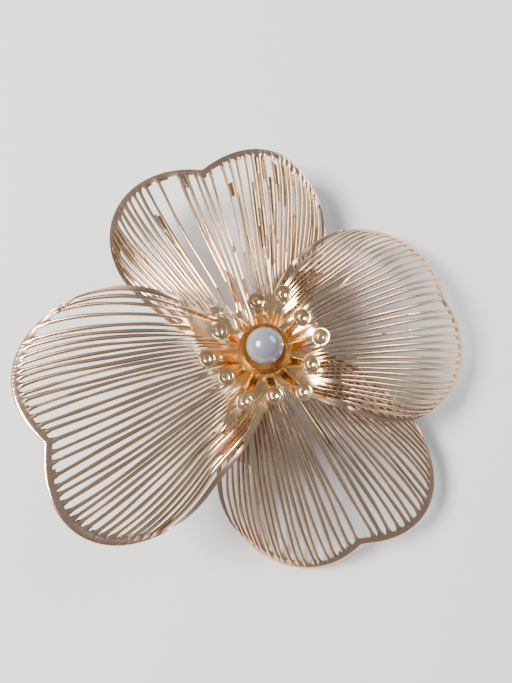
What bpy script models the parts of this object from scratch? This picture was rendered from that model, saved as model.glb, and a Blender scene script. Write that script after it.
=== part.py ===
"""Flower hair clip: a four-petal openwork flower on a sprung metal hair clip.

Run with: blender --background --python part.py
Units are metres, +Z is up. +X runs along the clip from the thumb levers to the tip, +Y is the
hinge direction, and the origin is on the flat underside of the lower arm, under the flower's
centre.
"""
from math import cos, pi, radians, sin

import bmesh
import bpy
from mathutils import Matrix, Vector

MM = 0.001

# The stack, from the clip up to the pearl. Heights are of the middle of each sheet.
CLIP_SHEET = 0.8 * MM
HINGE_X = -6.0 * MM
HINGE_Z = 3.8 * MM
UPPER_ARM_Z = 6.95 * MM
BACKING_Z = 10.3 * MM
LOWER_BLANK_Z = 11.1 * MM
UPPER_BLANK_Z = 11.9 * MM
LONG_STAR_Z = 13.05 * MM
SHORT_STAR_Z = 13.75 * MM
DISH_Z = 14.45 * MM
PEARL_Z = 18.45 * MM

# Petals. A petal is drawn flat, u along it and v across it, and then bent.
PETAL_SHEET = 0.5 * MM
NOTCH_U = 37.0 * MM
NOTCH_ANGLE = radians(65.0)
NOTCH_HANDLE = 12.0 * MM
WIDE_U = 25.0 * MM
HALF_WIDTH = 20.0 * MM
WIDE_TIP_HANDLE = 12.0 * MM
WIDE_HUB_HANDLE = 9.0 * MM
HUB_U = 3.0 * MM
HUB_HALF_WIDTH = 8.0 * MM
HUB_HANDLE = 12.0 * MM
HUB_ANGLE = radians(40.0)
RIB_FAN = radians(20.0)
RIM_WIDTH = 1.3 * MM
RIB_WIDTH = 0.95 * MM
SLOTS = 12
RIB_ROWS = 8
SLOT_START = 0.16

# How each petal is bent: rise is its slope near the hub, curl the change of slope per metre,
# crown the bend across it, roll and twist its tilt about its own length, lift its step up.
PETALS = {
    "right": dict(angle=-51.0, rise=0.3, curl=-27.0, crown=-35.0, roll=0.0, twist=0.0, lift=2.4 * MM),
    "top": dict(angle=38.0, rise=0.0, curl=-3.0, crown=-10.0, roll=0.2, twist=-0.2, lift=0.0),
    "left": dict(angle=135.0, rise=0.3, curl=-4.0, crown=-12.0, roll=-0.2, twist=0.3, lift=2.2 * MM),
    "bottom": dict(angle=228.0, rise=0.0, curl=-12.0, crown=-32.0, roll=0.0, twist=0.2, lift=0.0),
}
RISE_RAMP = 12.0 * MM
LIFT_RAMP = (4.6 * MM, 10.6 * MM)
BEND_RAMP = (4.0 * MM, 16.0 * MM)
TWIST_FROM = 20.0 * MM
LINE_STEP = 0.25 * MM
LINE_LENGTH = 60.0 * MM

# The hub.
BORE_RADIUS = 1.25 * MM
SHANK_RADIUS = 0.9 * MM
RIVET_HEAD_RADIUS = 1.5 * MM
RIVET_HEAD_HEIGHT = 0.35 * MM
RIVET_RIM = 0.15 * MM
RIVET_TAIL_HEIGHT = 0.5 * MM
PEG_RADIUS = 0.45 * MM
PEG_BELOW_MIDDLE = 0.8 * MM
PEG_TAPER = 0.1 * MM
STAR_SHEET = 0.4 * MM
STAR_RADIUS = 3.6 * MM
FIRST_STAMEN = 30.0
ARM_WIDTH = 1.3 * MM
ARM_BEND_RADIUS = 4.1 * MM
ARM_ROOT_HANDLE = Vector((0.9 * MM, 0.0))
ARM_CUP_HANDLE = Vector((1.4 * MM, 1.2 * MM))
LONG_REACH = 9.5 * MM
SHORT_REACH = 8.0 * MM
CUP_RADIUS = 1.4 * MM
CUP_Z = 16.4 * MM
CUP_DEPTH = 0.55 * MM
PEARL_RADIUS = 3.0 * MM
PEARL_BORE = 0.75 * MM
DISH_RADIUS = 4.25 * MM
DISH_DEPTH = 1.3 * MM
BACKING_RADIUS = 4.6 * MM
BACKING_SHEET = 0.5 * MM

# The clip.
TIP_X = 20.0 * MM
LEVER_X = -18.0 * MM
ARM_ARCH = 6.0
LEVER_DROP = 2.2 * MM
JAW_FLAT_X = 9.0 * MM
JAW_ROOT_HANDLE = Vector((5.0 * MM, 0.0))
JAW_TIP_HANDLE = Vector((4.0 * MM, 0.6 * MM))
LEVER_BEND_X = -9.5 * MM
TOOTH_END_MARGIN = 2.0 * MM
ARM_HALF_WIDTH = 4.5 * MM
TIP_HALF_WIDTH = 2.8 * MM
EAR_SHEET = 0.7 * MM
EAR_RADIUS = 2.4 * MM
OUTER_EAR_Y = 3.8 * MM
INNER_EAR_Y = 2.8 * MM
PIN_RADIUS = 0.8 * MM
PIN_CLEARANCE = 0.1 * MM
PIN_HEAD_RADIUS = 1.3 * MM
PIN_HEAD_HEIGHT = 0.45 * MM
PIN_HEAD_RIM = 0.2 * MM
GAP = 0.3 * MM
TOOTH_COUNT = 5
TOOTH_DEPTH = 0.9 * MM
TOOTH_WALL_Y = (1.7 * MM, 2.3 * MM)
TEETH_X = 11.0 * MM
WIRE_RADIUS = 0.35 * MM
COIL_RADIUS = 1.75 * MM
COIL_TURNS = 4
COIL_PITCH = 0.95 * MM
COIL_STEPS = 12
LEG_LENGTH = 9.0 * MM
UPPER_LEG_DROP = 1.15 * MM
LOWER_LEG_DROP = 1.8 * MM

ROSE_GOLD = ((0.86, 0.62, 0.42, 1.0), 0.24, 1.0)
DEEP_GOLD = ((0.90, 0.56, 0.26, 1.0), 0.26, 1.0)
CLIP_GOLD = ((0.83, 0.64, 0.42, 1.0), 0.30, 1.0)
SPRING_STEEL = ((0.60, 0.58, 0.55, 1.0), 0.32, 1.0)
PEARL_WHITE = ((0.86, 0.85, 0.88, 1.0), 0.18, 0.0)


def clear_scene():
    for item in list(bpy.data.objects):
        bpy.data.objects.remove(item)


def new_collection(name):
    collection = bpy.data.collections.new(name)
    bpy.context.scene.collection.children.link(collection)
    return collection


clear_scene()
PARTS = new_collection("flower_hair_clip")
CUTTERS = new_collection("cutters")


def material(name, look):
    colour, roughness, metallic = look
    made = bpy.data.materials.new(name)
    made.use_nodes = True
    shader = made.node_tree.nodes["Principled BSDF"]
    shader.inputs["Base Color"].default_value = colour
    shader.inputs["Roughness"].default_value = roughness
    shader.inputs["Metallic"].default_value = metallic
    return made


def add_object(name, mesh, look=None):
    thing = bpy.data.objects.new(name, mesh)
    if look is None:
        CUTTERS.objects.link(thing)
        thing.hide_render = True
        thing.display_type = "WIRE"
    else:
        PARTS.objects.link(thing)
        mesh.materials.append(material(name, look))
    return thing


def mesh_from(name, verts, faces):
    mesh = bpy.data.meshes.new(name)
    mesh.from_pydata([tuple(v) for v in verts], [], faces)
    work = bmesh.new()
    work.from_mesh(mesh)
    bmesh.ops.remove_doubles(work, verts=work.verts, dist=0.001 * MM)
    bmesh.ops.recalc_face_normals(work, faces=work.faces)
    work.to_mesh(mesh)
    work.free()
    return mesh


def apply_modifiers(thing):
    """Bakes an object's modifiers, so that it can be joined and cut further."""
    graph = bpy.context.evaluated_depsgraph_get()
    mesh = bpy.data.meshes.new_from_object(thing.evaluated_get(graph))
    thing.modifiers.clear()
    thing.data = mesh


def solidify(thing, thickness):
    wall = thing.modifiers.new("sheet", "SOLIDIFY")
    wall.thickness = thickness
    wall.offset = 0.0
    wall.use_even_offset = True


def boolean(thing, tool, operation):
    cut = thing.modifiers.new(operation.lower(), "BOOLEAN")
    cut.operation = operation
    cut.solver = "EXACT"
    cut.object = tool
    apply_modifiers(thing)


def union_all(name, pieces, look):
    """Joins overlapping solids into one named solid."""
    base = pieces[0]
    for other in pieces[1:]:
        boolean(base, other, "UNION")
    return add_object(name, base.data.copy(), look)


def bore(thing, radius, centre, depth, axis="Z"):
    """Cuts a round hole through a solid."""
    work = bmesh.new()
    bmesh.ops.create_cone(work, cap_ends=True, segments=24, radius1=radius, radius2=radius, depth=depth)
    if axis == "Y":
        bmesh.ops.rotate(work, verts=work.verts, matrix=Matrix.Rotation(pi / 2, 3, "X"))
    bmesh.ops.translate(work, verts=work.verts, vec=centre)
    mesh = bpy.data.meshes.new("bore")
    work.to_mesh(mesh)
    work.free()
    boolean(thing, add_object("bore_cutter", mesh), "DIFFERENCE")


def turned(name, profile, look, steps=32, height=0.0):
    """Turns a closed (radius, height) outline about Z; both ends of it are on the axis or it is a ring."""
    verts = [(r, 0.0, z) for r, z in profile]
    edges = [(i, i + 1) for i in range(len(verts) - 1)]
    if profile[0][0] > 0.0:
        edges.append((len(verts) - 1, 0))
    mesh = bpy.data.meshes.new(name)
    mesh.from_pydata(verts, edges, [])
    thing = add_object(name, mesh, look)
    spin = thing.modifiers.new("turn", "SCREW")
    spin.axis = "Z"
    spin.steps = steps
    spin.render_steps = steps
    spin.use_merge_vertices = True
    spin.merge_threshold = 0.001 * MM
    thing.location.z = height
    return thing


def smooth(value, low, high):
    x = min(max((value - low) / (high - low), 0.0), 1.0)
    return x * x * (3.0 - 2.0 * x)


def bezier(a, b, c, d, x):
    y = 1.0 - x
    return a * y * y * y + b * 3 * x * y * y + c * 3 * x * x * y + d * x * x * x


def direction(angle):
    return Vector((cos(angle), sin(angle)))


def flat_point(t, s):
    """A point of the flat petal: t is -1 to 1 across it, s is 0 at the hub and 1 at the rim."""
    a = abs(t)
    notch = Vector((NOTCH_U, 0.0))
    wide = Vector((WIDE_U, HALF_WIDTH))
    rim = bezier(notch, notch + NOTCH_HANDLE * direction(NOTCH_ANGLE),
                 wide + Vector((WIDE_TIP_HANDLE, 0.0)), wide, a)
    hub = Vector((HUB_U, HUB_HALF_WIDTH * a))
    start = hub + HUB_HANDLE * direction(HUB_ANGLE * a)
    end = rim - WIDE_HUB_HANDLE * direction(RIB_FAN * sin(pi * a))
    point = bezier(hub, start, end, rim, s)
    return Vector((point.x, point.y if t >= 0.0 else -point.y))


def centre_line(shape):
    """The bent line along the middle of a petal, as (x, z, slope) at equal steps."""
    line = [(0.0, 0.0, 0.0)]
    while len(line) * LINE_STEP < LINE_LENGTH:
        u = len(line) * LINE_STEP
        x, z, slope = line[-1]
        after = shape["rise"] * min(u / RISE_RAMP, 1.0) + shape["curl"] * u
        middle = (slope + after) / 2.0
        line.append((x + LINE_STEP * cos(middle), z + LINE_STEP * sin(middle), after))
    return line


def bent(point, shape, line, height):
    """Carries a flat petal point onto the bent petal, in its place on the flower."""
    u, v = point
    x, z, slope = line[round(u / LINE_STEP)]
    x += (u - round(u / LINE_STEP) * LINE_STEP) * cos(slope)
    z += (u - round(u / LINE_STEP) * LINE_STEP) * sin(slope)
    z += shape["lift"] * smooth(u, *LIFT_RAMP)
    ease = smooth(u, *BEND_RAMP)
    crown = shape["crown"] * ease
    if abs(crown) > 0.01:
        across = sin(crown * v) / crown
        up = (1.0 - cos(crown * v)) / crown
    else:
        across = v
        up = 0.0
    tilt = (shape["roll"] + shape["twist"] * (u - TWIST_FROM) / TWIST_FROM) * ease
    y = across * cos(tilt) - up * sin(tilt)
    out = across * sin(tilt) + up * cos(tilt)
    place = Vector((x - out * sin(slope), y, z + out * cos(slope) + height))
    return Matrix.Rotation(radians(shape["angle"]), 3, "Z") @ place


def petal_columns(s):
    """The edges across a petal of its rim, slots and ribs, as values of t."""
    step = 0.01
    edges = [-1.0]
    for i in range(1, SLOTS):
        t = 2.0 * i / SLOTS - 1.0
        spread = (flat_point(t + step, s) - flat_point(t - step, s)).length / (2 * step)
        half = min(RIB_WIDTH / 2.0 / spread, 0.42 / SLOTS)
        edges += [t - half, t + half]
    spread = (flat_point(1.0, s) - flat_point(1.0 - step, s)).length / step
    rim = 1.0 - min(RIM_WIDTH / spread, 0.9 / SLOTS)
    return edges[:1] + [-rim] + edges[1:] + [rim, 1.0]


def petal_pair(name, first, second, height, look):
    """A sheet blank of two opposite petals joined by a bored centre."""
    verts = []
    faces = []
    bases = []
    for key in (first, second):
        shape = PETALS[key]
        line = centre_line(shape)
        rim_row = 1.0 - RIM_WIDTH / (NOTCH_U - HUB_U)
        slot_rows = [SLOT_START + (rim_row - SLOT_START) * i / RIB_ROWS for i in range(RIB_ROWS + 1)]
        rows = [0.0] + slot_rows + [1.0]
        start = len(verts)
        width = 2 * SLOTS + 2
        for s in rows:
            for t in petal_columns(s):
                verts.append(bent(flat_point(t, s), shape, line, height))
        for row in range(len(rows) - 1):
            for column in range(width - 1):
                slot = column % 2 == 1 and 0 < row < len(rows) - 2
                if not slot:
                    corner = start + row * width + column
                    faces.append((corner, corner + 1, corner + width + 1, corner + width))
        bases += range(start, start + width)
    ring = len(verts)
    for index in bases:
        flat = Vector((verts[index].x, verts[index].y)).normalized() * BORE_RADIUS
        verts.append(Vector((flat.x, flat.y, height)))
    for i in range(len(bases)):
        after = (i + 1) % len(bases)
        faces.append((bases[i], bases[after], ring + after, ring + i))
    blank = add_object(name, mesh_from(name, verts, faces), look)
    solidify(blank, PETAL_SHEET)
    return blank


def strip(path, widths, thickness):
    """A sheet strip that follows (x, z) points, as wide either side of the middle as widths says."""
    verts = []
    for (x, z), half in zip(path, widths):
        verts += [Vector((x, -half, z)), Vector((x, half, z))]
    faces = [(2 * i, 2 * i + 2, 2 * i + 3, 2 * i + 1) for i in range(len(path) - 1)]
    thing = add_object("strip_blank", mesh_from("strip_blank", verts, faces))
    solidify(thing, thickness)
    apply_modifiers(thing)
    return thing


def plate(outline, low_y, high_y):
    """A flat plate standing in the XZ plane, from low_y to high_y."""
    work = bmesh.new()
    near = [work.verts.new((x, low_y, z)) for x, z in outline]
    face = work.faces.new(near)
    grown = bmesh.ops.extrude_face_region(work, geom=[face])
    moved = [v for v in grown["geom"] if isinstance(v, bmesh.types.BMVert)]
    bmesh.ops.translate(work, verts=moved, vec=(0.0, high_y - low_y, 0.0))
    bmesh.ops.recalc_face_normals(work, faces=work.faces)
    mesh = bpy.data.meshes.new("plate_blank")
    work.to_mesh(mesh)
    work.free()
    return add_object("plate_blank", mesh)


def stamen_path(reach, base_z, cup_z):
    """A stamen's arm: flat under the dish, then up in a curve to its cup."""
    start = Vector((ARM_BEND_RADIUS, base_z))
    end = Vector((reach - 0.6 * CUP_RADIUS, cup_z))
    points = [(STAR_RADIUS * 0.8, base_z)]
    for i in range(7):
        place = bezier(start, start + ARM_ROOT_HANDLE, end - ARM_CUP_HANDLE, end, i / 6)
        points.append((place.x, place.y))
    return points


def cup_blank(reach, cup_z):
    """The small dished cup at the end of a stamen."""
    rings = [(0.35, 0.0), (0.75, 0.12), (0.95, 0.55), (1.0, 1.0)]
    steps = 14
    verts = [Vector((reach, 0.0, cup_z))]
    for radius, rise in rings:
        for i in range(steps):
            a = 2 * pi * i / steps
            verts.append(Vector((reach + CUP_RADIUS * radius * cos(a), CUP_RADIUS * radius * sin(a),
                                 cup_z + CUP_DEPTH * rise)))
    faces = [(0, 1 + i, 1 + (i + 1) % steps) for i in range(steps)]
    for ring in range(len(rings) - 1):
        low = 1 + ring * steps
        for i in range(steps):
            j = (i + 1) % steps
            faces.append((low + i, low + steps + i, low + steps + j, low + j))
    thing = add_object("cup_blank", mesh_from("cup_blank", verts, faces))
    solidify(thing, STAR_SHEET)
    apply_modifiers(thing)
    return thing


def turn_z(thing, angle):
    thing.data.transform(Matrix.Rotation(angle, 4, "Z"))


def stamen_star(name, first_angle, reach, base_z, look):
    """A bored disc with six bent arms, each ending in a cup."""
    work = bmesh.new()
    bmesh.ops.create_cone(work, cap_ends=True, segments=36, radius1=STAR_RADIUS, radius2=STAR_RADIUS,
                          depth=STAR_SHEET)
    bmesh.ops.translate(work, verts=work.verts, vec=(0.0, 0.0, base_z))
    mesh = bpy.data.meshes.new("star_disc")
    work.to_mesh(mesh)
    work.free()
    pieces = [add_object("star_disc", mesh)]
    path = stamen_path(reach, base_z, CUP_Z)
    widths = [ARM_WIDTH / 2.0] * len(path)
    for i in range(6):
        angle = radians(first_angle - 60.0 * i)
        arm = strip(path, widths, STAR_SHEET)
        cup = cup_blank(reach, CUP_Z)
        for piece in (arm, cup):
            turn_z(piece, angle)
            pieces.append(piece)
    star = union_all(name, pieces, look)
    bore(star, BORE_RADIUS, (0.0, 0.0, base_z), 4 * STAR_SHEET)
    return star


def ear_outline(top_z):
    """A hinge ear: straight sides from the arm and a round end about the pin."""
    points = [(HINGE_X - EAR_RADIUS, top_z), (HINGE_X + EAR_RADIUS, top_z)]
    side = 1.0 if top_z < HINGE_Z else -1.0
    for i in range(13):
        a = pi * i / 12
        points.append((HINGE_X + EAR_RADIUS * cos(a), HINGE_Z + side * EAR_RADIUS * sin(a)))
    return points


def arm_z(x):
    """The middle of the upper arm, which is arched to follow the head."""
    return UPPER_ARM_Z - ARM_ARCH * x * x


def arm_half_width(x):
    return ARM_HALF_WIDTH + (TIP_HALF_WIDTH - ARM_HALF_WIDTH) * smooth(x, 0.0, TIP_X)


def upper_arm(look):
    steps = 16
    path = []
    for i in range(steps + 1):
        x = LEVER_X + (TIP_X - LEVER_X) * i / steps
        path.append((x, arm_z(x)))
    widths = [arm_half_width(x) for x, _ in path]
    pieces = [strip(path, widths, CLIP_SHEET)]
    outline = ear_outline(arm_z(HINGE_X))
    for side in (-1.0, 1.0):
        ends = sorted((side * OUTER_EAR_Y, side * (OUTER_EAR_Y + EAR_SHEET)))
        pieces.append(plate(outline, *ends))
    arm = union_all("clip_upper_arm", pieces, look)
    bore(arm, PIN_RADIUS + PIN_CLEARANCE, (HINGE_X, 0.0, HINGE_Z), 20 * MM, "Y")
    return arm


def jaw_path():
    """The lower arm from its lever end to its tip, along the middle of the sheet."""
    flat_z = CLIP_SHEET / 2.0
    tip_z = arm_z(TIP_X) - CLIP_SHEET - GAP
    points = [(LEVER_X, flat_z - LEVER_DROP), (LEVER_BEND_X, flat_z), (0.0, flat_z)]
    start = Vector((JAW_FLAT_X, flat_z))
    end = Vector((TIP_X, tip_z))
    for i in range(9):
        place = bezier(start, start + JAW_ROOT_HANDLE, end - JAW_TIP_HANDLE, end, i / 8)
        points.append((place.x, place.y))
    return points


def tooth_outline(path):
    """A side wall of the jaw's tip: its lower edge follows the sheet and its upper edge has teeth."""
    outline = [(x, z) for x, z in path if x >= TEETH_X]
    end = outline[-1][0] - TOOTH_END_MARGIN
    pitch = (end - TEETH_X) / TOOTH_COUNT
    for i in range(TOOTH_COUNT, 0, -1):
        point_x = TEETH_X + pitch * i
        root_x = point_x - 0.75 * pitch
        point_z = arm_z(point_x) - CLIP_SHEET / 2.0 - GAP
        outline += [(point_x, point_z), (root_x, point_z - TOOTH_DEPTH)]
    return outline


def lower_arm(look):
    path = jaw_path()
    inner = INNER_EAR_Y + EAR_SHEET
    widths = [arm_half_width(x) for x, _ in path]
    pieces = [strip(path, widths, CLIP_SHEET)]
    outline = ear_outline(CLIP_SHEET / 2.0)
    for side in (-1.0, 1.0):
        pieces.append(plate(outline, *sorted((side * INNER_EAR_Y, side * inner))))
        pieces.append(plate(tooth_outline(path), *sorted(side * y for y in TOOTH_WALL_Y)))
    arm = union_all("clip_lower_arm", pieces, look)
    bore(arm, PIN_RADIUS + PIN_CLEARANCE, (HINGE_X, 0.0, HINGE_Z), 20 * MM, "Y")
    return arm


def set_origin(thing, place):
    """Moves an object's origin to a point without moving its shape."""
    thing.data.transform(Matrix.Translation(-Vector(place)))
    thing.location = place


def hinge_pin(look):
    reach = OUTER_EAR_Y + EAR_SHEET + GAP / 2.0
    head = reach + PIN_HEAD_HEIGHT
    profile = [(0.0, head), (PIN_HEAD_RADIUS * 0.7, head), (PIN_HEAD_RADIUS, reach + PIN_HEAD_RIM),
               (PIN_HEAD_RADIUS, reach), (PIN_RADIUS, reach), (PIN_RADIUS, -reach),
               (PIN_HEAD_RADIUS, -reach), (PIN_HEAD_RADIUS, -reach - PIN_HEAD_RIM),
               (PIN_HEAD_RADIUS * 0.7, -head), (0.0, -head)]
    pin = turned("hinge_pin", profile, look, steps=24)
    pin.rotation_euler = (pi / 2, 0.0, 0.0)
    pin.location = (HINGE_X, 0.0, HINGE_Z)
    return pin


def coil_points():
    """The spring's wire: a leg under the upper lever, the coil about the pin, a leg over the lower lever."""
    half = COIL_TURNS * COIL_PITCH / 2.0
    count = COIL_TURNS * COIL_STEPS + COIL_STEPS // 2
    turns = []
    for i in range(count + 1):
        angle = pi / 2 + 2 * pi * i / COIL_STEPS
        across = -half + 2 * half * i / count
        turns.append(Vector((COIL_RADIUS * cos(angle), across, COIL_RADIUS * sin(angle))))
    upper = turns[0] + Vector((-LEG_LENGTH, 0.0, -UPPER_LEG_DROP))
    lower = turns[-1] + Vector((-LEG_LENGTH, 0.0, -LOWER_LEG_DROP))
    return [upper] + turns + [lower]


def torsion_spring(look):
    curve = bpy.data.curves.new("torsion_spring", "CURVE")
    curve.dimensions = "3D"
    curve.bevel_depth = WIRE_RADIUS
    curve.bevel_resolution = 2
    curve.use_fill_caps = True
    spline = curve.splines.new("POLY")
    points = coil_points()
    spline.points.add(len(points) - 1)
    for slot, place in zip(spline.points, points):
        slot.co = (*place, 1.0)
    spring = add_object("torsion_spring", curve, look)
    spring.location = (HINGE_X, 0.0, HINGE_Z)
    return spring


def centre_rivet(look):
    """The rivet that holds the stack: a tail in the clip's hole, a head in the dish, a peg for the pearl."""
    peg_top = PEARL_Z - PEG_BELOW_MIDDLE
    tail_top = BACKING_Z - BACKING_SHEET / 2.0 - GAP
    head_low = DISH_Z + STAR_SHEET / 2.0 + GAP
    head_top = head_low + RIVET_HEAD_HEIGHT
    profile = [(0.0, peg_top), (PEG_RADIUS, peg_top - PEG_TAPER), (PEG_RADIUS, head_top),
               (RIVET_HEAD_RADIUS * 0.85, head_top), (RIVET_HEAD_RADIUS, head_low + RIVET_RIM),
               (RIVET_HEAD_RADIUS, head_low), (SHANK_RADIUS, head_low), (SHANK_RADIUS, tail_top),
               (RIVET_HEAD_RADIUS, tail_top), (RIVET_HEAD_RADIUS * 0.8, tail_top - RIVET_TAIL_HEIGHT),
               (0.0, tail_top - RIVET_TAIL_HEIGHT)]
    return turned("centre_rivet", profile, look, steps=24)


def pearl_dish(look):
    half = STAR_SHEET / 2.0
    floor = DISH_RADIUS * 0.62
    profile = [(DISH_RADIUS + half, DISH_DEPTH), (DISH_RADIUS * 0.85 + half, DISH_DEPTH * 0.35),
               (floor, -half), (BORE_RADIUS, -half), (BORE_RADIUS, half), (floor - half, half),
               (DISH_RADIUS * 0.85 - half, DISH_DEPTH * 0.45), (DISH_RADIUS - half, DISH_DEPTH)]
    return turned("pearl_dish", profile, look, steps=36, height=DISH_Z)


def pearl(look):
    """A round bead, drilled half way up from below for its peg."""
    count = 16
    start = PEARL_BORE / PEARL_RADIUS
    angles = [pi * i / count for i in range(count)]
    profile = [(PEARL_RADIUS * sin(a), PEARL_RADIUS * cos(a)) for a in angles]
    low = PEARL_RADIUS * (1.0 - start * start) ** 0.5
    profile += [(PEARL_BORE, -low), (PEARL_BORE, 0.0), (0.0, 0.0)]
    return turned("pearl", profile, look, steps=32, height=PEARL_Z)


def backing_cup(look):
    """An upturned cup that stands the flower off the clip, clear of the drooping petals."""
    half = BACKING_SHEET / 2.0
    foot = UPPER_ARM_Z + CLIP_SHEET / 2.0 + GAP - BACKING_Z
    inner = BACKING_RADIUS - BACKING_SHEET
    profile = [(BACKING_RADIUS, half), (BACKING_RADIUS, foot), (inner, foot), (inner, -half),
               (BORE_RADIUS, -half), (BORE_RADIUS, half)]
    return turned("backing_cup", profile, look, steps=48, height=BACKING_Z)


def build():
    upper_arm(CLIP_GOLD)
    jaw = lower_arm(CLIP_GOLD)
    set_origin(jaw, (HINGE_X, 0.0, HINGE_Z))
    hinge_pin(CLIP_GOLD)
    torsion_spring(SPRING_STEEL)
    backing_cup(CLIP_GOLD)
    petal_pair("lower_petals", "top", "bottom", LOWER_BLANK_Z, ROSE_GOLD)
    petal_pair("upper_petals", "right", "left", UPPER_BLANK_Z, ROSE_GOLD)
    stamen_star("long_stamens", FIRST_STAMEN - 30.0, LONG_REACH, LONG_STAR_Z, DEEP_GOLD)
    stamen_star("short_stamens", FIRST_STAMEN, SHORT_REACH, SHORT_STAR_Z, DEEP_GOLD)
    pearl_dish(DEEP_GOLD)
    centre_rivet(DEEP_GOLD)
    pearl(PEARL_WHITE)


build()
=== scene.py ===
import math

import bmesh
import bpy
import numpy as np
from mathutils import Matrix, Vector


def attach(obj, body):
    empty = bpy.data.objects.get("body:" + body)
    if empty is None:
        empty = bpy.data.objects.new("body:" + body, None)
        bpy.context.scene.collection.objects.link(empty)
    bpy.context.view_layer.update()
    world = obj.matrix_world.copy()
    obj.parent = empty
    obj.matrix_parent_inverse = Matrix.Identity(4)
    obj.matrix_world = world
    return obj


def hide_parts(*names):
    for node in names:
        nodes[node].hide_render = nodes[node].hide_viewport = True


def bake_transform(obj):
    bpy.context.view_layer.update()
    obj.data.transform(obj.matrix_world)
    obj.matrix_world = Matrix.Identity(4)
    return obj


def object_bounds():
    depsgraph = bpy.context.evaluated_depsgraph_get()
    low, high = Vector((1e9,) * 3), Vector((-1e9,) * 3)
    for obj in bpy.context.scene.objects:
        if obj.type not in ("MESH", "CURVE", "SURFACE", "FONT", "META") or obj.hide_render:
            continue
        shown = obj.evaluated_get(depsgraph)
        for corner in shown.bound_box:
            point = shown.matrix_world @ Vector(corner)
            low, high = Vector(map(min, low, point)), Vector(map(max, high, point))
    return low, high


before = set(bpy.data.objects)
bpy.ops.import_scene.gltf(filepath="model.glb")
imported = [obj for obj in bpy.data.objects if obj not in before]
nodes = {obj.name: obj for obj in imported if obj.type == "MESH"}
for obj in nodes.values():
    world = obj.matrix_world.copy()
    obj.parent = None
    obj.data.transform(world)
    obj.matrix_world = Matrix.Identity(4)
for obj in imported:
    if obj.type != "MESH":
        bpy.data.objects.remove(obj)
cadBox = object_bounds()
mm = 0.001
print("frame loaded:", len(nodes), "nodes")


# shader maths: sockets that add their own Math nodes
class Sock:
    def __init__(self, paint, socket):
        self.paint = paint
        self.socket = socket

    def maths(self, operation, a, b):
        return self.paint.node("ShaderNodeMath", {"operation": operation}, {0: a, 1: b})

    def __add__(self, other):
        return self.maths("ADD", self, other)

    def __radd__(self, other):
        return self.maths("ADD", other, self)

    def __sub__(self, other):
        return self.maths("SUBTRACT", self, other)

    def __rsub__(self, other):
        return self.maths("SUBTRACT", other, self)

    def __mul__(self, other):
        return self.maths("MULTIPLY", self, other)

    def __rmul__(self, other):
        return self.maths("MULTIPLY", other, self)


# one material: fixed values go on its own sockets, and feed() links what varies over the surface
class Paint:
    def __init__(self, name, **fixed):
        self.material = bpy.data.materials.new(name)
        self.material.use_nodes = True
        self.tree = self.material.node_tree
        self.shader = self.tree.nodes["Principled BSDF"]
        for socket, value in fixed.items():
            self.shader.inputs[socket.replace("_", " ")].default_value = value

    def node(self, kind, settings, inputs, out=0):
        made = self.tree.nodes.new(kind)
        for key, value in settings.items():
            setattr(made, key, value)
        for key, value in inputs.items():
            if isinstance(value, Sock):
                self.tree.links.new(value.socket, made.inputs[key])
            else:
                made.inputs[key].default_value = value
        return Sock(self, made.outputs[out])

    def place(self):
        return self.node("ShaderNodeTexCoord", {}, {}, "Object")

    def noise(self, scale, detail=3.0, roughness=0.55, at=None):
        return self.node("ShaderNodeTexNoise", {}, {"Vector": at or self.place(), "Scale": scale,
                                                    "Detail": detail, "Roughness": roughness})

    def mark(self, name):
        return self.node("ShaderNodeAttribute", {"attribute_name": name}, {}, "Fac")

    def mix(self, amount, first, second):
        first = first if isinstance(first, Sock) else (*first, 1.0)
        second = second if isinstance(second, Sock) else (*second, 1.0)
        return self.node("ShaderNodeMix", {"data_type": "RGBA", "clamp_factor": True},
                         {0: amount, 6: first, 7: second}, 2)

    def spread(self, value, low, high, newLow=0.0, newHigh=1.0):
        return self.node("ShaderNodeMapRange", {"clamp": True},
                         {"Value": value, "From Min": low, "From Max": high,
                          "To Min": newLow, "To Max": newHigh})

    def feed(self, socket, value):
        self.tree.links.new(value.socket, self.shader.inputs[socket])

    def bump(self, height, strength, distance):
        made = self.node("ShaderNodeBump", {},
                         {"Height": height, "Strength": strength, "Distance": distance}, "Normal")
        self.feed("Normal", made)


# the plated brass of the petals: a painted highlight in champagne on the rib tops and painted shade in
# darker rose in the etched lows, set by each point's height, with rosier rims
def petalPlate(name, top, low, hub, rim):
    paint = Paint(name, Metallic=1.0)
    ribLight = paint.mark("ribLight")
    nearHub = paint.mark("nearHub")
    cloud = paint.noise(180.0, 4.0)
    grain = paint.noise(5200.0, 2.0, 0.6)
    # painted light: by relief height, with some random cloud, from painted shade in the lows to painted
    # highlight on the rib tops
    lit = paint.spread(ribLight + (cloud - 0.5) * 0.35, 0.15, 0.85)
    colour = paint.mix(lit, low, top)
    colour = paint.mix(paint.mark("rim") * 0.75, colour, rim)
    colour = paint.mix(nearHub * 0.8, colour, hub)
    paint.feed("Base Color", colour)
    paint.feed("Roughness", paint.spread(grain * 0.6 + cloud * 0.4, 0.3, 0.7, 0.15, 0.28))
    paint.bump(grain * 0.5 + paint.noise(1500.0, 3.0), 0.09, 0.05 * mm)
    return paint.material


# plated and polished metal, cloudy between two tones
def polishedGold(name, bright, deep, roughLow, roughHigh):
    paint = Paint(name, Metallic=1.0)
    cloud = paint.noise(420.0, 4.0)
    grain = paint.noise(4300.0, 2.0, 0.6)
    paint.feed("Base Color", paint.mix(paint.spread(cloud, 0.35, 0.65), deep, bright))
    paint.feed("Roughness", paint.spread(grain * 0.5 + cloud * 0.5, 0.35, 0.65, roughLow, roughHigh))
    paint.bump(grain + cloud * 2.0, 0.16, 0.05 * mm)
    return paint.material


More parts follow.
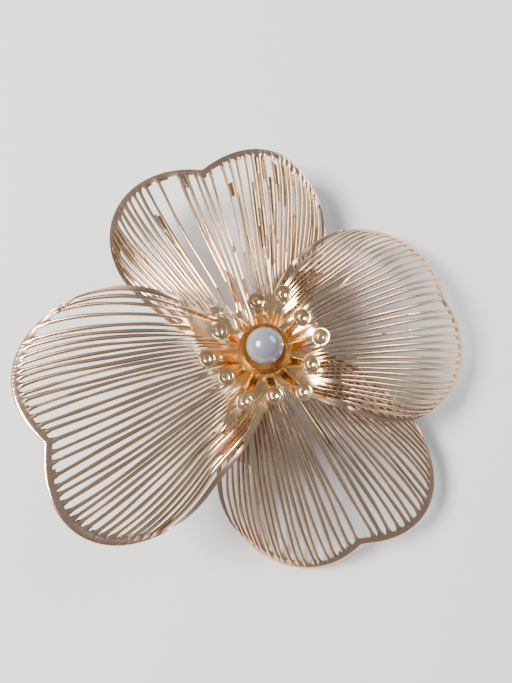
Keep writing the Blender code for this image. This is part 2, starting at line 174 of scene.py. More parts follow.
# sheet metal with the fine lengthwise brushing of rolled strip
def brushedSheet(name, bright, deep, stretch):
    paint = Paint(name, Metallic=1.0)
    along = paint.node("ShaderNodeMapping", {}, {"Vector": paint.place(), "Scale": stretch})
    streak = paint.noise(1.0, 4.0, 0.6, along)
    cloud = paint.noise(260.0, 3.0)
    paint.feed("Base Color", paint.mix(paint.spread(streak * 0.6 + cloud * 0.4, 0.35, 0.65), deep, bright))
    paint.feed("Roughness", paint.spread(streak, 0.3, 0.7, 0.22, 0.4))
    paint.bump(streak, 0.2, 0.04 * mm)
    return paint.material


# a lacquered bead, cool and warm greys drifting into each other, with a lighter and warmer painted sheen
# towards its edge as seen from the camera
def pearlCoat(name, cool, warm, rim):
    paint = Paint(name, Metallic=0.0, Coat_Weight=0.9, Coat_Roughness=0.06, Specular_IOR_Level=0.7)
    cloud = paint.noise(330.0, 4.0)
    skin = paint.noise(2600.0, 3.0)
    edge = paint.node("ShaderNodeLayerWeight", {}, {"Blend": 0.35}, "Facing")
    colour = paint.mix(paint.spread(cloud, 0.4, 0.62), cool, warm)
    # painted sheen: a lighter, warmer colour where the surface turns away from the camera
    colour = paint.mix(edge * 0.8, colour, rim)
    paint.feed("Base Color", colour)
    paint.feed("Roughness", paint.spread(skin, 0.35, 0.65, 0.14, 0.26))
    paint.bump(skin + cloud, 0.08, 0.05 * mm)
    return paint.material


# the petal colours: the champagne carries a painted highlight on the rib tops, and the dark rose is painted
# shade for the etched lows
litChampagne = (0.90, 0.62, 0.37)
shadedRose = (0.40, 0.23, 0.13)
hubOrange = (0.89, 0.59, 0.27)
rimRose = (0.82, 0.52, 0.37)
paints = {
    "petals": petalPlate("rosePlate", litChampagne, shadedRose, hubOrange, rimRose),
    "stamens": polishedGold("stamenGold", (0.97, 0.79, 0.54), (0.90, 0.65, 0.39), 0.12, 0.24),
    "dish": polishedGold("dishGold", (0.95, 0.65, 0.30), (0.87, 0.53, 0.21), 0.16, 0.3),
    "clip": brushedSheet("clipGold", (0.88, 0.70, 0.47), (0.74, 0.55, 0.34), (120.0, 9000.0, 9000.0)),
    "pin": polishedGold("pinGold", (0.88, 0.70, 0.47), (0.72, 0.52, 0.32), 0.2, 0.34),
    "spring": polishedGold("springSteel", (0.70, 0.69, 0.67), (0.52, 0.50, 0.48), 0.2, 0.36),
    "pearl": pearlCoat("pearlLacquer", (0.17, 0.19, 0.24), (0.23, 0.19, 0.21), (0.30, 0.24, 0.24)),
}
print("materials made:", len(paints))


# the angles in degrees past which an edge shades as a crease
creases = {"petal": 52.0, "turned": 40.0, "pressed": 30.0, "wire": 180.0}


# a new object, shaded smooth except at its creases
def newObject(name, mesh, paint, crease):
    mesh.shade_smooth()
    mesh.set_sharp_from_angle(angle=math.radians(crease))
    mesh.materials.append(paint)
    thing = bpy.data.objects.new(name, mesh)
    bpy.context.scene.collection.objects.link(thing)
    return thing


# the mesh an object has once its curve or its modifiers are worked out; the object itself goes
def workedOut(thing):
    bpy.context.scene.collection.objects.link(thing)
    bpy.context.view_layer.update()
    graph = bpy.context.evaluated_depsgraph_get()
    mesh = bpy.data.meshes.new_from_object(thing.evaluated_get(graph))
    mesh.materials.clear()
    bpy.data.objects.remove(thing)
    return mesh


# removes points that no face uses and turns every closed shell's faces outward
def dropLoose(thing):
    work = bmesh.new()
    work.from_mesh(thing.data)
    loose = [vert for vert in work.verts if not vert.link_faces]
    bmesh.ops.delete(work, geom=loose, context="VERTS")
    bmesh.ops.recalc_face_normals(work, faces=work.faces)
    work.to_mesh(thing.data)
    work.free()


# stands a finished mesh in for a node of the frame
def settle(thing, node, body):
    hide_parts(node)
    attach(thing, body)
    print(thing.name, "made:", len(thing.data.polygons), "faces")


def setMark(thing, name, values):
    mark = thing.data.attributes.new(name, "FLOAT", "POINT")
    mark.data.foreach_set("value", np.asarray(values, dtype=np.float32))


def bezier(a, b, c, d, x):
    y = 1.0 - x
    return a * y ** 3 + 3 * b * x * y ** 2 + 3 * c * x ** 2 * y + d * x ** 3


def smooth(value, low, high):
    x = np.clip((value - low) / (high - low), 0.0, 1.0)
    return x * x * (3.0 - 2.0 * x)


# the flat petal blank: its outline and its bends are those of the frame's petals
petalPlan = {
    "notchU": 37.0 * mm, "notchAngle": math.radians(65.0), "notchHandle": 12.0 * mm,
    "wideU": 25.0 * mm, "halfWidth": 20.0 * mm, "tipHandle": 12.0 * mm, "sideHandle": 9.0 * mm,
    "hubU": 3.0 * mm, "hubHalf": 8.0 * mm, "hubHandle": 12.0 * mm, "hubAngle": math.radians(40.0),
    "ribFan": math.radians(6.0),
    "riseRamp": 12.0 * mm, "liftRamp": (4.6 * mm, 10.6 * mm), "bendRamp": (4.0 * mm, 16.0 * mm),
    "twistFrom": 20.0 * mm, "lineStep": 0.25 * mm, "lineLength": 60.0 * mm,
}
# its ribs, slots and rims, finer than the frame's; t runs across a petal from -1 to 1 and s from 0 at the
# hub to 1 at the rim, and heights are in millimetres above the sheet's middle
ribPlan = {
    "ribs": 35, "ribWidth": 0.62 * mm, "rimWidth": 1.2 * mm, "rimShare": (0.02, 0.085), "sideT": 0.058,
    "sideWidth": 1.1 * mm, "sideFill": 0.93, "rows": 56, "rowBunch": 0.92,
    "rimRows": (0.0, 0.3, 0.62, 0.86, 1.0), "rimHeights": (0.10, 0.17, 0.23, 0.21, 0.05), "rimKeep": 0.35,
    "sidePlaces": (0.0, 0.12, 0.5), "sideHeights": (0.05, 0.22, 0.2), "edgeHeight": 0.05,
    "crest": (0.22, 0.29), "crestPlaces": (0.3, 0.7), "webHeight": 0.2, "slotEdge": 0.06,
    "under": 0.10, "underShare": 0.22,
    # how uneven the etching is: spacing, width, waves along a rib and how far a rib wanders
    "spacing": (0.86, 1.14), "width": (0.85, 1.12), "waves": (9.0, 22.0), "waveDepth": 0.09,
    "phases": (0.0, 6.28), "wander": 0.10, "wanderWaves": (4.0, 11.0), "wanderOver": (0.1, 0.4),
    "widest": 0.40, "taper": 0.5, "taperOver": (0.05, 0.45), "swell": 0.6, "swellOver": 0.03,
    # where widths are measured, clear of the petal's very edges
    "measureS": (0.01, 0.985), "measureRim": 0.995, "measureSide": 0.97,
    # where slots begin, how often, and how the half-etched stretches lie in them
    "slotBegins": (0.06, 0.12, 0.20, 0.36), "beginShares": (0.42, 0.32, 0.18, 0.08), "beginJitter": 0.03,
    "firstBegin": 0.03, "slotTaper": 0.07, "closedKeep": 0.05, "openFrom": 0.06, "lastWeb": 0.85,
    "shortWeb": 0.08, "hubShade": (3.0 * mm, 11.0 * mm), "lowShade": 0.4,
}
# how each petal is bent; then the chance, on either side of its middle, that a slot is half etched in
# places, how long such a place is, and which slots are wider (where across, how many times)
petals = {
    "right": {"angle": -51.0, "rise": 0.3, "curl": -27.0, "crown": -35.0, "roll": 0.0, "twist": 0.0,
              "lift": 2.4 * mm, "webs": (0.0, 0.0), "webLength": 0.16, "wideSlots": (), "seed": 3},
    "top": {"angle": 38.0, "rise": 0.0, "curl": -3.0, "crown": -10.0, "roll": 0.2, "twist": -0.2,
            "lift": 0.0, "webs": (0.85, 0.3), "webLength": 0.5,
            "wideSlots": ((0.24, 2.6), (0.32, 2.2), (-0.03, 1.8)), "seed": 5},
    "left": {"angle": 135.0, "rise": 0.3, "curl": -4.0, "crown": -12.0, "roll": -0.2, "twist": 0.3,
             "lift": 2.2 * mm, "webs": (0.0, 0.0), "webLength": 0.16,
             "wideSlots": ((-0.9, 1.9), (-0.8, 1.8)), "seed": 8},
    "bottom": {"angle": 228.0, "rise": 0.0, "curl": -12.0, "crown": -32.0, "roll": 0.0, "twist": 0.2,
               "lift": 0.0, "webs": (0.0, 0.0), "webLength": 0.16,
               "wideSlots": ((0.0, 1.6),), "seed": 13},
}


# a place on the flat blank: u away from the hub, v across
def flatPoint(t, s):
    p = petalPlan
    a = np.abs(t)
    aim = p["notchAngle"]
    rimU = bezier(p["notchU"], p["notchU"] + p["notchHandle"] * math.cos(aim),
                  p["wideU"] + p["tipHandle"], p["wideU"], a)
    rimV = bezier(0.0, p["notchHandle"] * math.sin(aim), p["halfWidth"], p["halfWidth"], a)
    hubV = p["hubHalf"] * a
    fan = p["ribFan"] * np.sin(math.pi * a)
    turn = p["hubAngle"] * a
    u = bezier(p["hubU"], p["hubU"] + p["hubHandle"] * np.cos(turn), rimU - p["sideHandle"] * np.cos(fan),
               rimU, s)
    v = bezier(hubV, hubV + p["hubHandle"] * np.sin(turn), rimV - p["sideHandle"] * np.sin(fan), rimV, s)
    return u, np.where(t < 0.0, -v, v)


# the same place once the petal is bent, with the flower's middle at the origin
def bendPetal(u, v, shape, height):
    p = petalPlan
    line = np.arange(0.0, p["lineLength"], p["lineStep"])
    slope = shape["rise"] * np.minimum(line / p["riseRamp"], 1.0) + shape["curl"] * line
    middle = (slope[1:] + slope[:-1]) / 2.0
    lineX = np.concatenate([[0.0], np.cumsum(p["lineStep"] * np.cos(middle))])
    lineZ = np.concatenate([[0.0], np.cumsum(p["lineStep"] * np.sin(middle))])
    x = np.interp(u, line, lineX)
    z = np.interp(u, line, lineZ) + shape["lift"] * smooth(u, *p["liftRamp"])
    lean = np.interp(u, line, slope)
    ease = smooth(u, *p["bendRamp"])
    crown = shape["crown"] * np.maximum(ease, 0.001)
    across = np.sin(crown * v) / crown
    up = (1.0 - np.cos(crown * v)) / crown
    tilt = (shape["roll"] + shape["twist"] * (u - p["twistFrom"]) / p["twistFrom"]) * ease
    y = across * np.cos(tilt) - up * np.sin(tilt)
    out = across * np.sin(tilt) + up * np.cos(tilt)
    px = x - out * np.sin(lean)
    pz = z + out * np.cos(lean) + height
    turn = math.radians(shape["angle"])
    return np.stack([px * math.cos(turn) - y * math.sin(turn),
                     px * math.sin(turn) + y * math.cos(turn), pz], axis=-1)


def sheetNormal(u, v, shape, height):
    step = 0.05 * mm
    alongU = bendPetal(u + step, v, shape, height) - bendPetal(u - step, v, shape, height)
    alongV = bendPetal(u, v + step, shape, height) - bendPetal(u, v - step, shape, height)
    normal = np.cross(alongU, alongV)
    return normal / np.linalg.norm(normal, axis=-1, keepdims=True)


# how far apart lines of equal t run for each unit of t, and lines of equal s for each unit of s
def ribSpread(t, s):
    step = 0.004
    ua, va = flatPoint(t - step, s)
    ub, vb = flatPoint(t + step, s)
    uc, vc = flatPoint(t, s - step)
    ud, vd = flatPoint(t, s + step)
    tu, tv = (ub - ua) / (2 * step), (vb - va) / (2 * step)
    su, sv = (ud - uc) / (2 * step), (vd - vc) / (2 * step)
    cross = np.abs(tu * sv - tv * su)
    return cross / np.hypot(su, sv), cross / np.hypot(tu, tv)


# a closed shell from a top and a bottom grid: only solid cells are kept, and open edges get walls
def shellFaces(solid, offset, count):
    rows, columns = solid.shape
    width = columns + 1
    faces = []

    def corner(j, i, low):
        return offset + j * width + i + (count if low else 0)

    def wall(a, b):
        faces.append((corner(*a, False), corner(*b, False), corner(*b, True), corner(*a, True)))

    for j in range(rows):
        for i in range(columns):
            if not solid[j, i]:
                continue
            quad = [(j, i), (j, i + 1), (j + 1, i + 1), (j + 1, i)]
            faces.append(tuple(corner(*q, False) for q in quad))
            faces.append(tuple(corner(*q, True) for q in reversed(quad)))
            if j == 0 or not solid[j - 1, i]:
                wall((j, i + 1), (j, i))
            if j == rows - 1 or not solid[j + 1, i]:
                wall((j + 1, i), (j + 1, i + 1))
            if i == 0 or not solid[j, i - 1]:
                wall((j, i), (j + 1, i))
            if i == columns - 1 or not solid[j, i + 1]:
                wall((j + 1, i + 1), (j, i + 1))
    return faces


# where the ribs of a petal stand across it, wider apart beside the named wide slots
def ribPlaces(shape, rng):
    p = ribPlan
    ribs = p["ribs"]
    weights = rng.uniform(*p["spacing"], ribs + 1)
    even = np.linspace(-1.0, 1.0, ribs + 1)
    for place, grow in shape["wideSlots"]:
        weights[np.argmin(np.abs(even - place))] *= grow
    steps = np.cumsum(weights) / np.sum(weights)
    return (2.0 * steps[:-1] - 1.0) * (1.0 - p["sideT"])


# where a slot begins along its length, and which stretches of it are only half etched
def slotPlan(shape, rng, place):
    p = ribPlan
    side = 0 if place < 0.0 else 1
    jitter = p["beginJitter"]
    begin = rng.choice(p["slotBegins"], p=p["beginShares"]) + rng.uniform(-jitter, jitter)
    webs = []
    if rng.random() < shape["webs"][side]:
        for _ in range(rng.integers(1, 3)):
            start = rng.uniform(begin, p["lastWeb"])
            webs.append((start, start + rng.uniform(p["shortWeb"], shape["webLength"])))
    return max(begin, p["firstBegin"]), webs


# the rows of one rib: even up to where the rim starts, then the rim's own
def ribRows(end):
    p = ribPlan
    body = np.linspace(0.0, 1.0, p["rows"]) ** p["rowBunch"]
    return np.concatenate([end * body, end + (1.0 - end) * np.array(p["rimRows"][1:])])


# how much of t one metre across the petal takes up, at each row
def shareAcross(t, s):
    across, _ = ribSpread(np.full(len(s), t), np.clip(s, *ribPlan["measureS"]))
    return 1.0 / np.maximum(across, 1e-6)


# the two edges of one rib, all the way from hub to rim, and the height of its crest
def ribEdges(middle, s, end, pitch, rng):
    p = ribPlan
    phase = rng.uniform(*p["phases"])
    wave = 1.0 + p["waveDepth"] * np.sin(s * rng.uniform(*p["waves"]) + phase)
    taper = p["taper"] + (1.0 - p["taper"]) * smooth(s, *p["taperOver"])
    swell = 1.0 + p["swell"] * smooth(s, end - p["swellOver"], end)
    half = p["ribWidth"] / 2.0 * rng.uniform(*p["width"]) * wave * taper * swell
    half = np.minimum(half * shareAcross(middle, s), p["widest"] * pitch)
    sway = np.sin(s * rng.uniform(*p["wanderWaves"]) + phase) * smooth(s, *p["wanderOver"])
    path = middle + p["wander"] * pitch * sway
    return path - half, path + half, rng.uniform(*p["crest"])


# one petal: ribs, slots, half-etched webs and rim, as grids of points with their marks
def petalGrid(shape):
    p = ribPlan
    rng = np.random.default_rng(shape["seed"])
    middles = ribPlaces(shape, rng)
    ribs = len(middles)
    body = p["rows"]
    _, steep = ribSpread(middles, np.full(ribs, p["measureRim"]))
    ribEnd = 1.0 - np.clip(p["rimWidth"] / np.maximum(steep, 1e-6), *p["rimShare"])
    rowSets = [ribRows(end) for end in ribEnd]
    sideS = [rowSets[0], rowSets[-1]]
    sideT = [np.minimum(p["sideWidth"] * shareAcross(place, s), p["sideT"] * p["sideFill"])
             for place, s in zip((-p["measureSide"], p["measureSide"]), sideS)]
    edges = [ribEdges(middles[k], rowSets[k], ribEnd[k], 2.0 / (ribs + 1), rng) for k in range(ribs)]
    crests = [edge[2] for edge in edges]
    # every slot lies between two ribs, and its sides close up where it isn't open
    starts = [-1.0 + sideT[0]] + [edge[1] for edge in edges]
    ends = [edge[0] for edge in edges] + [1.0 - sideT[1]]
    gaps = []
    for n in range(ribs + 1):
        s = rowSets[min(n, ribs - 1)]
        begin, webs = slotPlan(shape, rng, (starts[n] + ends[n])[body // 2] / 2.0)
        opened = smooth(s, begin, begin + p["slotTaper"])
        middle = (starts[n] + ends[n]) / 2.0
        keep = p["closedKeep"] + (1.0 - p["closedKeep"]) * opened
        starts[n] = middle - (middle - starts[n]) * keep
        ends[n] = middle + (ends[n] - middle) * keep
        high = crests[min(n, ribs - 1)]
        gaps.append({"t": middle, "s": s, "open": opened, "webs": webs, "high": high})
    columns = []
    flat = np.full(len(sideS[0]), 1.0)
    for place, high in zip(p["sidePlaces"], p["sideHeights"]):
        columns.append((-1.0 + (starts[0] + 1.0) * place, sideS[0], flat * high))
    for n, gap in enumerate(gaps):
        edge = p["slotEdge"] + (gap["high"] - p["slotEdge"]) * (1.0 - gap["open"])
        web = gap["high"] * (1.0 - gap["open"]) + p["webHeight"] * gap["open"]
        columns.append((starts[n], gap["s"], edge))
        columns.append((gap["t"], gap["s"], web))
        if n < ribs:
            columns.append((ends[n], rowSets[n], edge))
            wide = starts[n + 1] - ends[n]
            for share in p["crestPlaces"]:
                columns.append((ends[n] + wide * share, rowSets[n], flat * crests[n]))
        else:
            columns.append((ends[n], gap["s"], edge))
    for place, high in zip(reversed(p["sidePlaces"]), reversed(p["sideHeights"])):
        columns.append((1.0 - (1.0 - ends[-1]) * place, sideS[1], flat * high))
    t, s, rise = (np.stack([column[i] for column in columns], axis=1) for i in range(3))
    # the rim's own relief takes over from the ribs
    sides = len(p["sidePlaces"])
    rim = np.zeros_like(t)
    rim[:, :sides] = rim[:, -sides:] = 1.0
    last = len(p["rimRows"]) - 1
    for n, high in enumerate(p["rimHeights"]):
        row = body - 1 + n
        keep = p["rimKeep"] * (1.0 - n / last)
        rise[row] = rise[row] * keep + high * (1.0 - keep)
        rise[row, 0] = rise[row, -1] = p["edgeHeight"]
        rim[row] = 1.0
    u, v = flatPoint(t, s)
    solid = np.ones((t.shape[0] - 1, t.shape[1] - 1), dtype=bool)
    for n, gap in enumerate(gaps):
        first = sides + 5 * n    # a slot has two columns of cells and a rib three
        slot = gap["open"][:-1] > p["openFrom"]
        for start, stop in gap["webs"]:
            slot &= ~((gap["s"][:-1] > start) & (gap["s"][:-1] < stop))
        slot[body - 1:] = False
        # the two halves of a web end at different places, so its ends are ragged
        solid[:, first] = ~slot
        solid[:, first + 1] = ~np.roll(slot, rng.integers(-1, 2))
        solid[body - 1:, first + 1] = True
    return {"u": u, "v": v, "rise": rise, "rim": rim, "solid": solid}


# two petals on one blank, set in place of the frame's
def petalBlank(name, keys, height, node):
    p = ribPlan
    grids = []
    for key in keys:
        shape = petals[key]
        grid = petalGrid(shape)
        normal = sheetNormal(grid["u"], grid["v"], shape, height)
        middle = bendPetal(grid["u"], grid["v"], shape, height)
        rise = grid["rise"][..., None]
        grid["top"] = middle + normal * rise * mm
        grid["low"] = middle - normal * (p["under"] + p["underShare"] * rise) * mm
        grids.append(grid)
    count = sum(g["rise"].size for g in grids)
    offset = 0
    faces = []
    for grid in grids:
        faces += shellFaces(grid["solid"], offset, count)
        offset += grid["rise"].size
    flats = {key: np.concatenate([g[key].reshape(-1) for g in grids]) for key in ("u", "rise", "rim")}
    verts = np.concatenate([g[key].reshape(-1, 3) for key in ("top", "low") for g in grids])
    # painted light: the higher a point stands in the relief, the lighter it is coloured
    ribLight = np.clip(flats["rise"] / p["crest"][1], 0.0, 1.0)
    nearHub = 1.0 - smooth(flats["u"], *p["hubShade"])
    mesh = bpy.data.meshes.new(name)
    mesh.from_pydata([tuple(map(float, vert)) for vert in verts], [], faces)
    thing = newObject(name, mesh, paints["petals"], creases["petal"])
    # the undersides take the same painted light, darkened further as painted shade beneath the petals
    setMark(thing, "ribLight", np.concatenate([ribLight, ribLight * p["lowShade"]]))
    setMark(thing, "nearHub", np.concatenate([nearHub, nearHub]))
    setMark(thing, "rim", np.concatenate([flats["rim"], flats["rim"]]))
    dropLoose(thing)
    settle(thing, node, "flower")


# how high each layer's middle lies; the camera turns about the hub plane
heights = {"lower": 11.1 * mm, "upper": 11.9 * mm, "longStar": 13.05 * mm, "shortStar": 13.75 * mm,
           "dish": 14.45 * mm, "pearl": 18.45 * mm, "hubPlane": 11.1 * mm}
petalBlank("lowerPetals", ("top", "bottom"), heights["lower"], "lower_petals")
petalBlank("upperPetals", ("right", "left"), heights["upper"], "upper_petals")


# several closed shells gathered into one mesh
class Shells:
    def __init__(self):
        self.verts = []
        self.faces = []

    # a turned shell about an axis: a closed outline of (radius, height) points
    def lathe(self, outline, matrix, steps):
        start = len(self.verts)
        for radius, height in outline:
            for i in range(steps):
                angle = 2.0 * math.pi * i / steps
                place = Vector((radius * math.cos(angle), radius * math.sin(angle), height))
                self.verts.append(matrix @ place)
        count = len(outline)
        for j in range(count):
            for i in range(steps):
                k = (i + 1) % steps
                a, b = start + j * steps, start + (j + 1) % count * steps
                self.faces.append((a + i, a + k, b + k, b + i))

    # a strip along a path; a frame is its sideways and upward direction, dip how far its middle is fluted
    def strip(self, path, frames, halves, thick, dip):
        start = len(self.verts)
        across = np.linspace(-1.0, 1.0, 9)
        top = []
        low = []
        for place, (side, up), half in zip(path, frames, halves):
            for x in across:
                depth = thick / 2.0 * (1.0 - 0.75 * abs(x) ** 6)    # thinner towards its rounded edges
                middle = place + side * (half * x) + up * (dip * (x * x - 0.5))
                top.append(middle + up * depth)
                low.append(middle - up * depth)
        self.verts += top + low
        whole = np.ones((len(path) - 1, len(across) - 1), dtype=bool)
        self.faces += shellFaces(whole, start, len(top))

    def finish(self, name, paint):
        work = bmesh.new()
        places = [work.verts.new(vert) for vert in self.verts]
        for face in self.faces:
            work.faces.new([places[i] for i in face])
        bmesh.ops.remove_doubles(work, verts=work.verts, dist=0.002 * mm)
        bmesh.ops.recalc_face_normals(work, faces=work.faces)
        mesh = bpy.data.meshes.new(name)
        work.to_mesh(mesh)
        work.free()
        return newObject(name, mesh, paint, creases["turned"])


stamen = {
    "firstAngle": 30.0, "discRadius": 3.6 * mm, "bore": 1.25 * mm, "sheet": 0.36 * mm,
    "halfWidth": 0.72 * mm, "waist": 0.56 * mm, "waistOver": (0.2, 0.9), "dip": 0.14 * mm,
    "bendRadius": 4.1 * mm,
    "cupZ": 16.4 * mm, "steps": 16, "longReach": 9.5 * mm, "shortReach": 8.0 * mm, "rootShare": 0.8,
    "armStop": 0.868 * mm, "rootHandle": 0.9 * mm, "cupHandle": (1.4 * mm, 1.2 * mm), "lean": 0.03,
    "cupTilt": (-0.34, -0.12), "cupSteps": 36, "discSteps": 64, "bentSteps": 29, "bentStop": 0.85 * mm,
    # outline of a cup's wall in millimetres, out from its middle and back along the inside
    "cup": ((0.02, -0.36), (0.60, -0.30), (1.06, -0.02), (1.26, 0.40), (1.34, 0.72), (1.46, 0.86),
            (1.48, 0.96), (1.42, 1.03), (1.26, 1.04), (1.13, 0.96), (1.07, 0.70), (0.86, 0.20),
            (0.50, -0.08), (0.02, -0.16)),
    # the one that is bent over: (distance, degrees, height, roll of the strip in degrees)
    "bentPath": ((2.9, 60.0, 13.05, 0), (4.1, 60.0, 13.2, 4), (5.0, 60.8, 14.6, 20), (5.8, 61.8, 16.2, 44),
                 (6.6, 63.8, 17.3, 66), (7.4, 66.8, 17.8, 80), (8.2, 70.2, 17.9, 86), (8.9, 73.6, 17.7, 88)),
}


# the sideways and upward direction at every place of a path, rolled about it by the given angles
def pathFrames(path, rolls):
    frames = []
    for i, roll in enumerate(rolls):
        forward = (path[min(i + 1, len(path) - 1)] - path[max(i - 1, 0)]).normalized()
        side = Vector((0, 0, 1)).cross(forward).normalized()
        up = forward.cross(side)
        turned = Matrix.Rotation(roll, 3, forward)
        frames.append((turned @ side, turned @ up))
    return frames


# an arm's half width, from its root down to its waist
def armHalf(share):
    return stamen["halfWidth"] + (stamen["waist"] - stamen["halfWidth"]) * float(share)


def addCup(shells, put):
    shells.lathe([(r * mm, z * mm) for r, z in stamen["cup"]], put, stamen["cupSteps"])


def straightStamen(shells, angle, reach, baseZ, rng):
    plan = stamen
    back, drop = plan["cupHandle"]
    start = Vector((plan["bendRadius"], 0.0, baseZ))
    end = Vector((reach - plan["armStop"], 0.0, plan["cupZ"]))
    path = [Vector((plan["discRadius"] * plan["rootShare"], 0.0, baseZ))]
    for i in range(plan["steps"]):
        path.append(bezier(start, start + Vector((plan["rootHandle"], 0.0, 0.0)),
                           end - Vector((back, 0.0, drop)), end, i / (plan["steps"] - 1)))
    spin = Matrix.Rotation(angle + rng.uniform(-plan["lean"], plan["lean"]), 4, "Z")
    turn = spin.to_3x3()
    frames = [(turn @ side, turn @ up) for side, up in pathFrames(path, [0.0] * len(path))]
    halves = [armHalf(smooth(i / (len(path) - 1), *plan["waistOver"])) for i in range(len(path))]
    shells.strip([turn @ place for place in path], frames, halves, plan["sheet"], plan["dip"])
    tilt = Matrix.Rotation(rng.uniform(*plan["cupTilt"]), 4, "Y")
    addCup(shells, spin @ Matrix.Translation((reach, 0.0, plan["cupZ"])) @ tilt)


def bentStamen(shells):
    plan = stamen
    rough = []
    for distance, degrees, height, roll in plan["bentPath"]:
        angle = math.radians(degrees)
        rough.append((distance * math.cos(angle), distance * math.sin(angle), height, math.radians(roll)))
    rough = np.array(rough)
    fine = np.linspace(0.0, len(rough) - 1.0, plan["bentSteps"])
    path = np.stack([np.interp(fine, np.arange(len(rough)), rough[:, i]) for i in range(4)], axis=1)
    for _ in range(6):    # eases the corners between the named places
        path[1:-1] = (path[:-2] + 2.0 * path[1:-1] + path[2:]) / 4.0
    places = [Vector(place[:3]) * mm for place in path]
    frames = pathFrames(places, path[:, 3])
    halves = [armHalf(i / (len(places) - 1)) for i in range(len(places))]
    shells.strip(places, frames, halves, plan["sheet"], plan["dip"])
    side, up = frames[-1]
    forward = (places[-1] - places[-3]).normalized()
    put = Matrix(((*forward, 0), (*side, 0), (*up, 0), (0, 0, 0, 1))).transposed()
    put.translation = places[-1] + forward * plan["bentStop"]
    addCup(shells, put)


# one pressed star: a disc with six arms, the last of them bent over if so asked
def stamenStar(name, node, firstAngle, reach, baseZ, seed, bent):
    plan = stamen
    rng = np.random.default_rng(seed)
    shells = Shells()
    low = baseZ - plan["sheet"] / 2.0
    high = baseZ + plan["sheet"] / 2.0
    disc = [(plan["bore"], low), (plan["discRadius"], low), (plan["discRadius"], high), (plan["bore"], high)]
    shells.lathe(disc, Matrix.Identity(4), plan["discSteps"])
    for i in range(6):
        if bent and i == 5:
            bentStamen(shells)
        else:
            straightStamen(shells, math.radians(firstAngle - 60.0 * i), reach, baseZ, rng)
    settle(shells.finish(name, paints["stamens"]), node, "flower")


stamenStar("longStamens", "long_stamens", stamen["firstAngle"] - 30.0, stamen["longReach"],
           heights["longStar"], 21, True)
stamenStar("shortStamens", "short_stamens", stamen["firstAngle"], stamen["shortReach"],
           heights["shortStar"], 22, False)


dish = {
    "steps": 96,
    # outline of its wall in millimetres: out along the underside, over the lip and back along the inside
    "outline": ((1.25, -0.2), (2.6, -0.2), (3.3, 0.06), (3.86, 0.55), (4.22, 1.12), (4.34, 1.28),
                (4.30, 1.38), (4.14, 1.36), (3.9, 1.06), (3.56, 0.62), (3.06, 0.32), (2.5, 0.2),
                (1.25, 0.2)),
}


def makeDish():
    shells = Shells()
    outline = [(r * mm, z * mm + heights["dish"]) for r, z in dish["outline"]]
    shells.lathe(outline, Matrix.Identity(4), dish["steps"])
    settle(shells.finish("pearlDish", paints["dish"]), "pearl_dish", "flower")


bead = {"radius": 3.0 * mm, "drill": 0.75 * mm, "rows": 48, "steps": 96, "pole": 0.0001 * mm}


# the bead, drilled half way up from below
def makePearl():
    radius = bead["radius"]
    sweep = math.pi - math.asin(bead["drill"] / radius)
    outline = []
    for i in range(bead["rows"] + 1):
        angle = sweep * (1.0 - i / bead["rows"])
        outline.append((max(radius * math.sin(angle), bead["pole"]),
                        radius * math.cos(angle) + heights["pearl"]))
    outline += [(bead["pole"], heights["pearl"]), (bead["drill"], heights["pearl"])]
    shells = Shells()
    shells.lathe(outline, Matrix.Identity(4), bead["steps"])
    settle(shells.finish("pearlBead", paints["pearl"]), "pearl", "flower")


makeDish()
makePearl()

spring = {
    "hinge": (-6.0 * mm, 0.0, 3.8 * mm), "wire": 0.35 * mm, "radius": 1.75 * mm, "turns": 4,
    "pitch": 0.95 * mm, "steps": 24, "leg": 9.0 * mm, "upperDrop": 1.15 * mm, "lowerDrop": 1.8 * mm,
}


# the coil about the pin, with a straight leg at each end; it winds up as the jaw opens, but here it is one
# fixed piece that does not follow the jaw
def makeSpring():
    plan = spring
    middle = Vector(plan["hinge"])
    half = plan["turns"] * plan["pitch"] / 2.0
    count = plan["turns"] * plan["steps"] + plan["steps"] // 2
    coil = []
    for i in range(count + 1):
        angle = math.pi / 2 + 2 * math.pi * i / plan["steps"]
        coil.append(middle + Vector((plan["radius"] * math.cos(angle), -half + 2 * half * i / count,
                                     plan["radius"] * math.sin(angle))))
    upper = coil[0] + Vector((-plan["leg"], 0.0, -plan["upperDrop"]))
    lower = coil[-1] + Vector((-plan["leg"], 0.0, -plan["lowerDrop"]))
    curve = bpy.data.curves.new("springWire", "CURVE")
    curve.dimensions = "3D"
    curve.bevel_depth = plan["wire"]
    curve.bevel_resolution = 4
    curve.use_fill_caps = True
    line = curve.splines.new("POLY")
    points = [upper] + coil + [lower]
    line.points.add(len(points) - 1)
    for slot, place in zip(line.points, points):
        slot.co = (*place, 1.0)
    mesh = workedOut(bpy.data.objects.new("springWire", curve))
    thing = newObject("springCoil", mesh, paints["spring"], creases["wire"])
    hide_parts("torsion_spring")
    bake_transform(thing)
    print("springCoil made:", len(mesh.polygons), "faces")


makeSpring()

# the plain metal pieces: name, body, how far their edges are rounded, paint and finish
plainPieces = {
    "clip_upper_arm": ("clipUpperArm", "flower", 0.14 * mm, "clip", "clip_gold"),
    "clip_lower_arm": ("clipLowerArm", "jaw", 0.14 * mm, "clip", "clip_gold"),
    "hinge_pin": ("hingePin", "flower", 0.08 * mm, "pin", "clip_gold"),
    "backing_cup": ("backingCup", "flower", 0.12 * mm, "clip", "clip_gold"),
    "centre_rivet": ("centreRivet", "flower", 0.08 * mm, "dish", "deep_gold"),
}
softening = {"flatWithin": math.radians(1.0), "edgesPast": math.radians(35.0), "segments": 2}


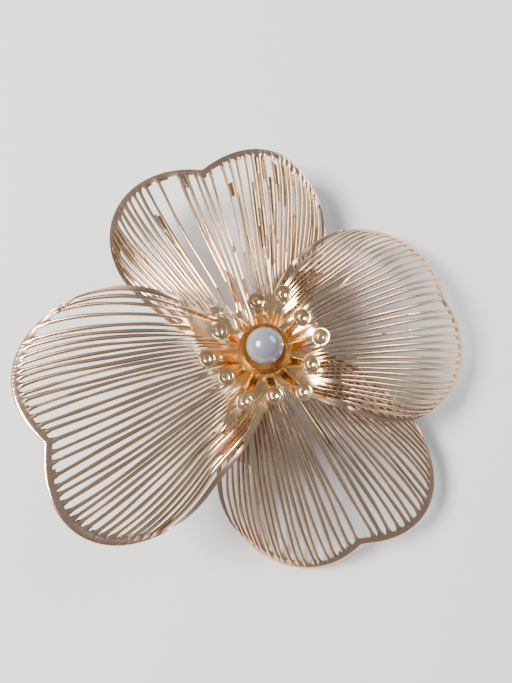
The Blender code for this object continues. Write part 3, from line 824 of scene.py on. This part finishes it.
# a copy of the frame's own shape with its sharp edges rounded over, as tumbled and plated metal is
def softened(node):
    name, body, width, paint, slot = plainPieces[node]
    mesh = nodes[node].data.copy()
    work = bmesh.new()
    work.from_mesh(mesh)
    bmesh.ops.remove_doubles(work, verts=work.verts, dist=0.001 * mm)
    flat = softening["flatWithin"]
    bmesh.ops.dissolve_limit(work, angle_limit=flat, verts=work.verts, edges=work.edges)
    work.to_mesh(mesh)
    work.free()
    rough = bpy.data.objects.new(name + "Rough", mesh)
    bevel = rough.modifiers.new("edges", "BEVEL")
    bevel.width = width
    bevel.segments = softening["segments"]
    bevel.limit_method = "ANGLE"
    bevel.angle_limit = softening["edgesPast"]
    bevel.use_clamp_overlap = True
    thing = newObject(name, workedOut(rough), paints[paint], creases["pressed"])
    settle(thing, node, body)


for node in plainPieces:
    softened(node)

# the camera, close over the flower and leaning a little to one side
view = {"tilt": math.radians(-12.0), "turn": math.radians(70.0), "shiftX": 1.4 * mm, "shiftY": -2.2 * mm,
        "distance": 103.0 * mm, "lens": 32.0, "sensor": 36.0, "nearest": 5.0 * mm}


def addCamera():
    data = bpy.data.cameras.new("camera")
    data.sensor_width = view["sensor"]
    data.lens = view["lens"]
    data.clip_start = view["nearest"]
    camera = bpy.data.objects.new("camera", data)
    turned = Matrix.Rotation(view["tilt"], 4, "X") @ Matrix.Rotation(view["turn"], 4, "Z")
    toHub = Matrix.Translation((0.0, 0.0, -heights["hubPlane"]))
    away = Matrix.Translation((view["shiftX"], view["shiftY"], -view["distance"]))
    camera.matrix_world = (away @ turned @ toHub).inverted()
    bpy.context.scene.collection.objects.link(camera)
    bpy.context.scene.camera = camera


studio = {
    "floorSize": 1.2, "floorLevel": cadBox[0][2], "floorColour": (0.72, 0.72, 0.71, 1.0),
    "skyColour": (0.60, 0.66, 0.76, 1.0), "skyStrength": 0.4, "aim": (0.0, 0.0, 0.01),
    # each lamp's place, size, power and colour
    "lamps": {"key": ((-0.12, 0.42, 0.50), (0.30, 0.22), 13.0, (1.0, 0.98, 0.95)),
              "fill": ((0.45, -0.30, 0.35), (0.40, 0.30), 3.0, (0.92, 0.95, 1.0))},
}


def addFloor():
    work = bmesh.new()
    bmesh.ops.create_grid(work, x_segments=4, y_segments=4, size=studio["floorSize"])
    mesh = bpy.data.meshes.new("floor")
    work.to_mesh(mesh)
    work.free()
    floor = bpy.data.objects.new("floor", mesh)
    floor.location.z = studio["floorLevel"]
    paint = Paint("paleFloor", Roughness=0.75, Base_Color=studio["floorColour"])
    mesh.materials.append(paint.material)
    bpy.context.scene.collection.objects.link(floor)


def addLamp(name):
    place, size, power, colour = studio["lamps"][name]
    data = bpy.data.lights.new(name, "AREA")
    data.shape = "RECTANGLE"
    data.size, data.size_y = size
    data.energy = power
    data.color = colour
    light = bpy.data.objects.new(name, data)
    light.location = place
    away = Vector(studio["aim"]) - Vector(place)
    light.rotation_euler = away.to_track_quat("-Z", "Y").to_euler()
    bpy.context.scene.collection.objects.link(light)


def addWorld():
    world = bpy.data.worlds.new("studio")
    world.use_nodes = True
    back = world.node_tree.nodes["Background"]
    back.inputs["Color"].default_value = studio["skyColour"]
    back.inputs["Strength"].default_value = studio["skyStrength"]
    bpy.context.scene.world = world


addCamera()
addFloor()
addWorld()
for name in studio["lamps"]:
    addLamp(name)
print("camera, floor and lights placed")
